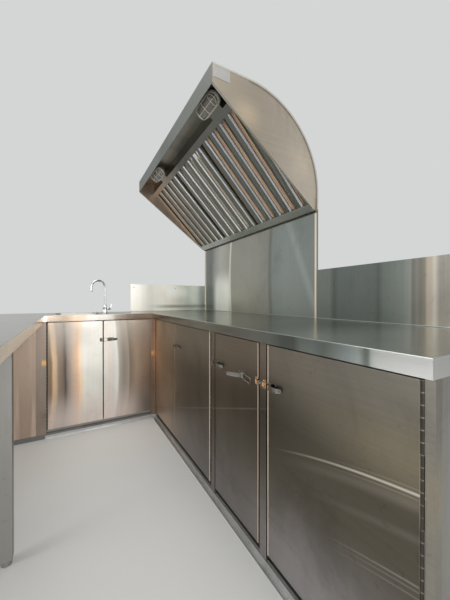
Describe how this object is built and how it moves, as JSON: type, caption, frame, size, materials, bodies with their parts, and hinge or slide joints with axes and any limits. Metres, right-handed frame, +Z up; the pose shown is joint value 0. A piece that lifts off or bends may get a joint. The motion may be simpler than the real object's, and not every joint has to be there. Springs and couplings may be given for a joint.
{
  "type": "food trailer kitchen unit",
  "caption": "U-shaped stainless steel kitchen unit of a food trailer: worktops over latched cupboards, sink with swan-neck tap, and an extractor hood with baffle filters over a tall splashback.",
  "frame": {"origin": "on the floor under the middle of the unit's bounding box", "axes": "+X to the wall that carries the hood, +Y to the end wall with the sink, +Z up"},
  "size_m": [2.095, 2.555, 2.168],
  "materials": {
    "steel_brushed": "brushed",
    "steel_bright": "satin",
    "aluminium": "mill",
    "chrome": "polished",
    "zinc": "satin",
    "trim": "satin",
    "white_plastic": "matte",
    "lamp_grey": "matte",
    "glass": "frosted",
    "plate": "satin"
  },
  "bodies": {
    "unit": {"worktop": "steel_bright", "sink_bowl": "steel_bright", "sink_waste": "white_plastic", "tap_body": "chrome", "tap_lever": "chrome", "right_cabinet": "steel_brushed", "right_posts": "steel_brushed", "end_cabinet": "steel_brushed", "end_posts": "steel_brushed", "blind_panel": "steel_brushed", "fixed_front": "steel_brushed", "plinth": "steel_brushed", "floor_angle": "aluminium", "left_frame": "steel_brushed", "hinges": "steel_bright", "catches": "zinc", "latch_5": "zinc", "hood_lips": "steel_brushed", "splash_right": "steel_brushed", "splash_end": "steel_bright", "tall_panel": "steel_brushed", "panel_trim": "trim", "hood_shell": "steel_brushed", "hood_rails": "steel_bright", "drip_channel": "steel_bright", "filter_1": "steel_bright", "filter_2": "steel_bright", "filter_3": "steel_bright", "lamp_bases": "lamp_grey", "lamp_glasses": "glass", "lamp_cages": "zinc", "rating_plate": "plate"},
    "door_1": {"door_1": "steel_brushed", "latch_1_catch": "zinc"},
    "door_2": {"door_2": "steel_brushed", "latch_2": "zinc"},
    "door_3": {"door_3": "steel_brushed", "latch_3": "zinc"},
    "door_4": {"door_4": "steel_brushed", "latch_4": "zinc"},
    "door_5": {"door_5": "steel_brushed", "latch_5_catch": "zinc"},
    "tap_spout": {"tap_spout": "chrome", "spout_collar": "chrome"}
  },
  "joints": [
    {"name": "door_1_hinge", "type": "hinge", "parent": "unit", "child": "door_1", "pos_m": [0.331, 0.7425, 0.45], "axis": [0, 0, -1], "range_deg": [0, 60]},
    {"name": "door_2_hinge", "type": "hinge", "parent": "unit", "child": "door_2", "pos_m": [0.331, -0.278, 0.45], "axis": [0, 0, 1], "range_deg": [0, 90]},
    {"name": "door_3_lift_out", "type": "slide", "parent": "unit", "child": "door_3", "axis": [-1, 0, 0], "range_m": [0, 0.25]},
    {"name": "door_4_hinge", "type": "hinge", "parent": "unit", "child": "door_4", "pos_m": [0.331, -1.2535, 0.45], "axis": [0, 0, 1], "range_deg": [0, 100]},
    {"name": "door_5_hinge", "type": "hinge", "parent": "unit", "child": "door_5", "pos_m": [-0.436, 0.811, 0.45], "axis": [0, 0, -1], "range_deg": [0, 90]},
    {"name": "tap_swivel", "type": "hinge", "parent": "unit", "child": "tap_spout", "pos_m": [-0.018, 1.11, 0.95], "axis": [0, 0, 1], "range_deg": [-15, 115]}
  ]
}
